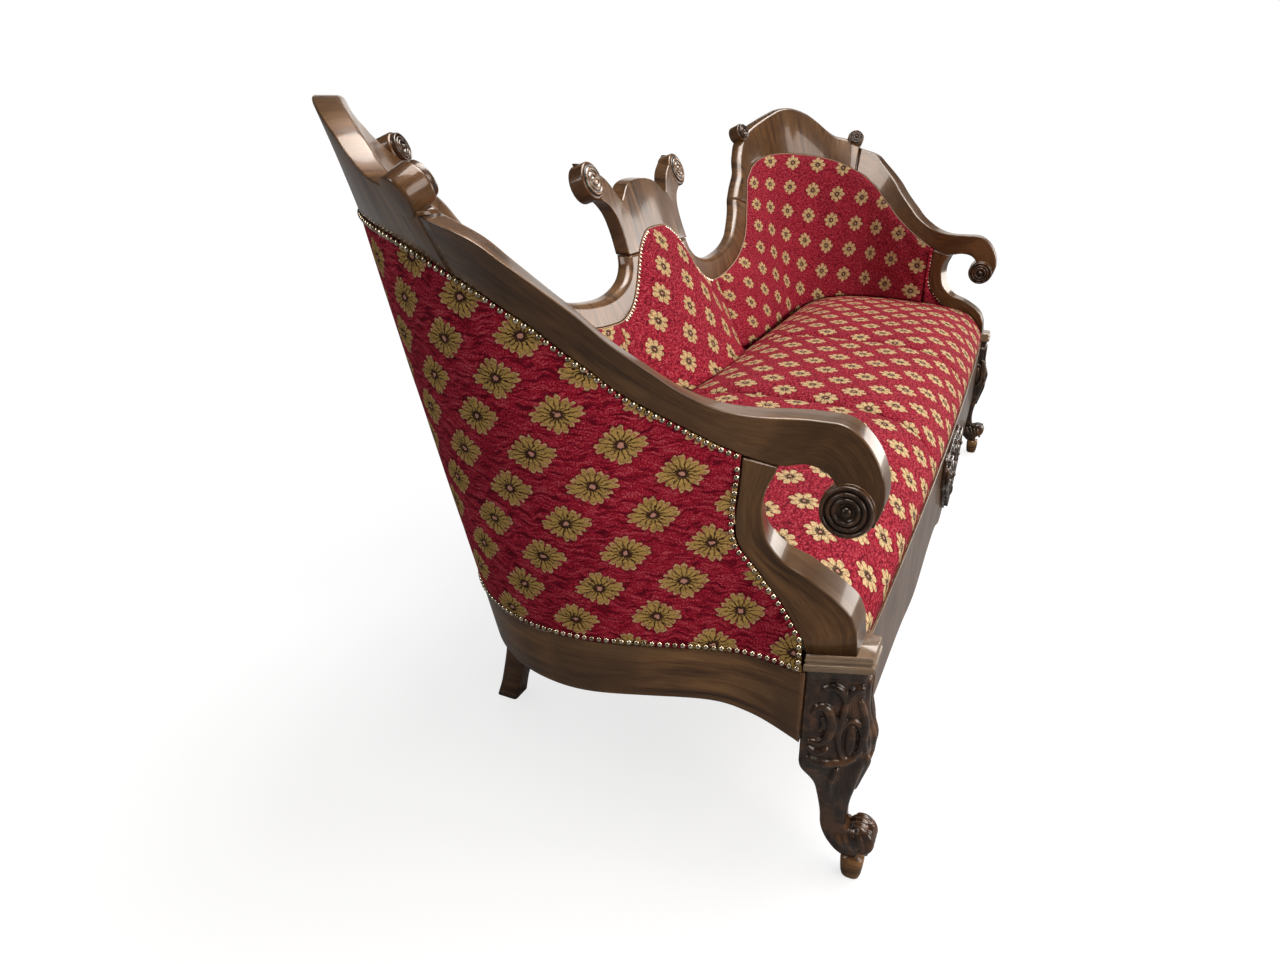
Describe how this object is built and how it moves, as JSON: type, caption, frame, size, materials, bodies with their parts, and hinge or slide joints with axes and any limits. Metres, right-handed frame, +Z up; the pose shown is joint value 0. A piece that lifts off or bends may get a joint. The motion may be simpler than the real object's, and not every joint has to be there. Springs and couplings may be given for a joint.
{
  "type": "three-seater sofa",
  "caption": "Show-wood sofa with a triple-hump back, scrolled arms, carved cabriole front legs, raked rear legs, a sewn sprung seat and padded back.",
  "frame": {"origin": "floor level, below the middle of the sofa's bounding box", "axes": "+X towards the right-hand arm as the sitter sees it from behind (the sofa's length), -Y is the front, +Z up"},
  "size_m": [2.3198, 0.8809, 1.06],
  "materials": {
    "walnut": "french polished walnut veneer",
    "carved_wood": "carved and stained nearly black",
    "beech": "plain",
    "crimson_fabric": "woven with small gold rosette flowers",
    "cloth": "coarse jute",
    "spring_steel": "plain wire"
  },
  "bodies": {
    "root": {"front_rail": "walnut", "side_rail_left": "walnut", "side_rail_right": "walnut", "back_rail": "walnut", "rear_leg_left": "walnut", "rear_leg_right": "walnut", "leg_cap_left": "walnut", "leg_cap_right": "walnut", "arm_stile_left": "walnut", "arm_stile_right": "walnut", "arm_rail_left": "walnut", "arm_rail_right": "walnut", "crest_left": "walnut", "crest_right": "walnut", "valley_rail_left": "walnut", "valley_rail_right": "walnut", "crest_center": "walnut", "front_ornament": "carved_wood", "front_leg_left": "carved_wood", "front_leg_right": "carved_wood", "arm_rosette_inner_left": "carved_wood", "arm_rosette_inner_right": "carved_wood", "arm_rosette_outer_left": "carved_wood", "arm_rosette_outer_right": "carved_wood", "crest_rosette_side_left": "carved_wood", "crest_rosette_side_right": "carved_wood", "crest_rosette_back_left": "carved_wood", "crest_rosette_back_right": "carved_wood", "center_rosette_left": "carved_wood", "center_rosette_right": "carved_wood", "foot_block_left": "beech", "foot_block_right": "beech", "corner_post_left": "beech", "corner_post_right": "beech", "valley_post_left": "beech", "valley_post_right": "beech", "seat_stretcher_left": "beech", "seat_stretcher_right": "beech", "corner_block_left": "beech", "corner_block_right": "beech", "seat_pad_left": "crimson_fabric", "seat_pad_center": "crimson_fabric", "seat_pad_right": "crimson_fabric", "back_pad_left": "crimson_fabric", "back_pad_center": "crimson_fabric", "back_pad_right": "crimson_fabric", "outside_cover_left": "crimson_fabric", "outside_cover_right": "crimson_fabric", "outside_cover_back": "crimson_fabric", "seat_webbing": "cloth", "seat_hessian": "cloth", "dust_cover": "cloth", "seat_spring_left_1": "spring_steel", "seat_spring_left_2": "spring_steel", "seat_spring_right_1": "spring_steel", "seat_spring_right_2": "spring_steel"}
  },
  "joints": []
}
